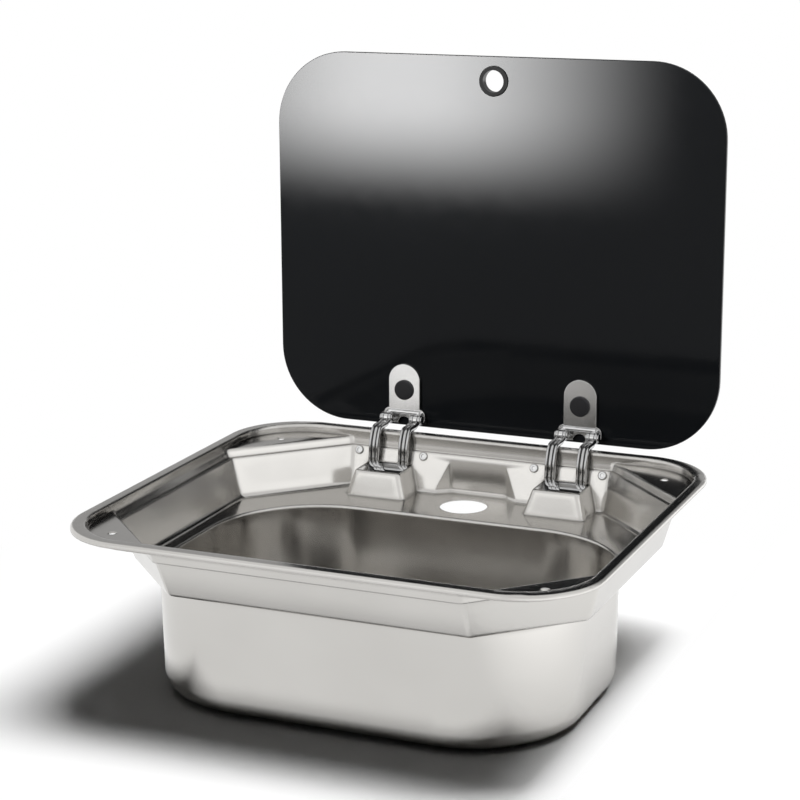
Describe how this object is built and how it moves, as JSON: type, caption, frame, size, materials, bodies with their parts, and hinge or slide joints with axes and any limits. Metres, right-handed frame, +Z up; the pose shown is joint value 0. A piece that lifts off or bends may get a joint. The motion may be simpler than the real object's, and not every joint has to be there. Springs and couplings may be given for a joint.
{
  "type": "inset sink with glass lid",
  "caption": "Rectangular stainless inset sink with a stepped octagonal tray, a rounded bowl and a smoked glass lid that folds down flush on rear hinges.",
  "frame": {"origin": "centre of the waste hole in the bowl's floor, at the bowl's underside; it is also under the middle of the rim", "axes": "+Z up, +X to the user's right, +Y to the back, where the hinges are; the user stands at -Y"},
  "size_m": [0.42, 0.3982, 0.4656],
  "materials": {
    "basin_steel": "satin stainless steel, fine brushing",
    "drain_steel": "satin stainless steel",
    "seal_foam": "closed-cell foam, matt",
    "soft_seal": "soft rubber, matt",
    "smoked_glass": "smoked tempered glass, polished",
    "black_rubber": "moulded rubber, satin",
    "black_plastic": "moulded black plastic",
    "hinge_steel": "plain steel",
    "screw_steel": "polished stainless steel",
    "bracket_steel": "polished stainless steel",
    "arm_chrome": "polished chrome"
  },
  "bodies": {
    "basin": {"basin_shell": "basin_steel", "drain_flange": "drain_steel", "drain_grid": "drain_steel", "drain_seal": "soft_seal", "hinge_base_left": "hinge_steel", "hinge_base_right": "hinge_steel", "hinge_pin_left": "hinge_steel", "hinge_pin_right": "hinge_steel", "hinge_screws": "screw_steel", "hinge_sleeve_left": "hinge_steel", "hinge_sleeve_right": "hinge_steel", "rim_seal": "seal_foam"},
    "lid": {"arm_rivets_left": "arm_chrome", "arm_rivets_right": "arm_chrome", "bracket_bolt_left": "arm_chrome", "bracket_bolt_right": "arm_chrome", "bracket_gasket_left": "soft_seal", "bracket_gasket_right": "soft_seal", "bracket_plug_left": "black_plastic", "bracket_plug_right": "black_plastic", "clamp_disc_left": "black_plastic", "clamp_disc_right": "black_plastic", "finger_ring": "black_rubber", "hinge_arm_left_1": "arm_chrome", "hinge_arm_left_2": "arm_chrome", "hinge_arm_left_3": "arm_chrome", "hinge_arm_left_4": "arm_chrome", "hinge_arm_left_5": "arm_chrome", "hinge_arm_left_6": "arm_chrome", "hinge_arm_right_1": "arm_chrome", "hinge_arm_right_2": "arm_chrome", "hinge_arm_right_3": "arm_chrome", "hinge_arm_right_4": "arm_chrome", "hinge_arm_right_5": "arm_chrome", "hinge_arm_right_6": "arm_chrome", "lid_bracket_left": "bracket_steel", "lid_bracket_right": "bracket_steel", "lid_glass": "smoked_glass"}
  },
  "joints": [
    {"name": "lid_hinge", "type": "hinge", "parent": "basin", "child": "lid", "pos_m": [0, 0.1784, 0.1148], "axis": [1, 0, 0], "range_deg": [0, 90.8]}
  ]
}
